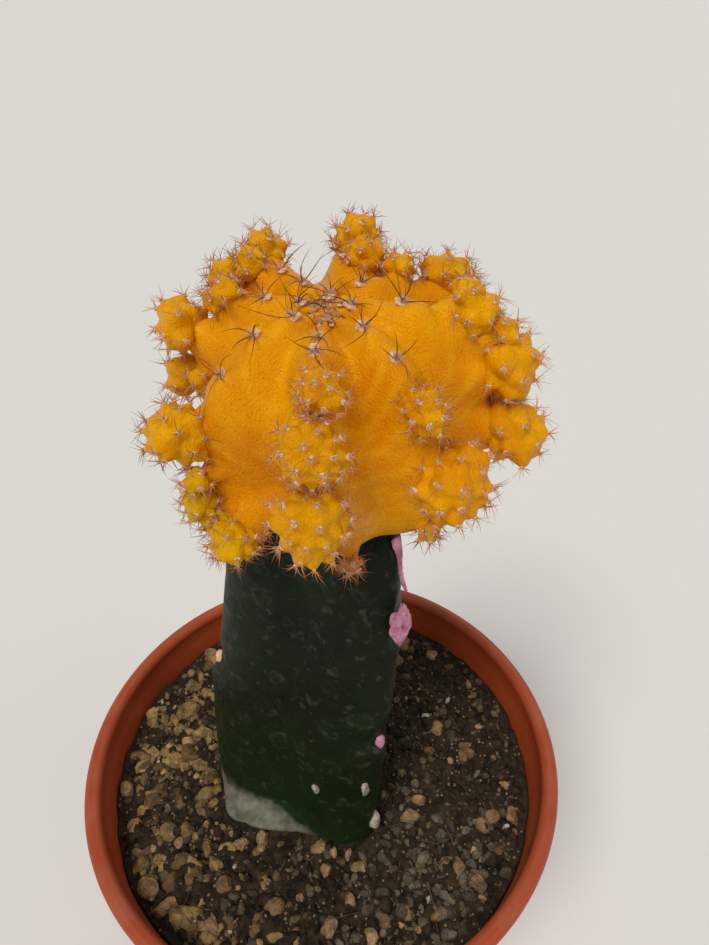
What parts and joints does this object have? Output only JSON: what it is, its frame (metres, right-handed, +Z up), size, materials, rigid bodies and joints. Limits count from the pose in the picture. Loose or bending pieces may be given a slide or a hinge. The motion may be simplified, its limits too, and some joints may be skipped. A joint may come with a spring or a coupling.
{
  "type": "potted moon cactus",
  "caption": "Grafted moon cactus: a yellow ribbed globe with small offsets on a dark green three-angled stem, in a round terracotta-coloured plastic pot of gravelly soil.",
  "frame": {"origin": "centre of the pot's foot, on the surface that the pot stands on", "axes": "+Z up; -Y is the plant's front, towards which its crown leans"},
  "size_m": [0.09, 0.09, 0.1739],
  "materials": {
    "pot_plastic": "satin terracotta-coloured plastic, slightly dusty",
    "soil": "loose dark peat with fine sand; wood stands in for its low density",
    "grain": "rough pumice and small tan stones",
    "stock_skin": "waxy dark green stem skin; rubber stands in for wet flesh",
    "scion_skin": "taut yellow-orange skin with a fine cell texture and a soft sheen; rubber stands in for wet flesh",
    "pup_skin": "knobbly yellow skin with a soft sheen; rubber stands in for wet flesh",
    "areole_wool": "pale wool cushions with thin curved spines",
    "scab": "dry pink and purple cork and dead skin"
  },
  "bodies": {
    "root": {"areole_back_1": "areole_wool", "areole_back_2": "areole_wool", "areole_back_left_1": "areole_wool", "areole_back_left_2": "areole_wool", "areole_back_right_1": "areole_wool", "areole_front_1": "areole_wool", "areole_front_2": "areole_wool", "areole_front_left_1": "areole_wool", "areole_front_left_2": "areole_wool", "areole_front_left_3": "areole_wool", "areole_front_right_1": "areole_wool", "areole_front_right_2": "areole_wool", "areole_left_1": "areole_wool", "areole_left_2": "areole_wool", "areole_right_1": "areole_wool", "areole_right_2": "areole_wool", "graft_peel": "scab", "grain_01": "grain", "grain_02": "grain", "grain_03": "grain", "grain_04": "grain", "grain_05": "grain", "grain_06": "grain", "grain_07": "grain", "grain_08": "grain", "grain_09": "grain", "grain_10": "grain", "grain_11": "grain", "pot": "pot_plastic", "pup_back_1": "pup_skin", "pup_back_2": "pup_skin", "pup_back_3": "pup_skin", "pup_back_left_1": "pup_skin", "pup_back_left_2": "pup_skin", "pup_back_left_3": "pup_skin", "pup_back_left_4": "pup_skin", "pup_back_right_1": "pup_skin", "pup_back_right_2": "pup_skin", "pup_back_right_3": "pup_skin", "pup_back_right_4": "pup_skin", "pup_front_1": "pup_skin", "pup_front_2": "pup_skin", "pup_front_3": "pup_skin", "pup_front_4": "pup_skin", "pup_front_left_1": "pup_skin", "pup_front_left_2": "pup_skin", "pup_front_left_3": "pup_skin", "pup_front_right_1": "pup_skin", "pup_front_right_2": "pup_skin", "pup_front_right_3": "pup_skin", "pup_left_1": "pup_skin", "pup_left_2": "pup_skin", "pup_left_3": "pup_skin", "pup_right_1": "pup_skin", "pup_right_2": "pup_skin", "pup_right_3": "pup_skin", "rib_scab": "scab", "rootstock": "stock_skin", "scion": "scion_skin", "soil": "soil"}
  },
  "joints": []
}
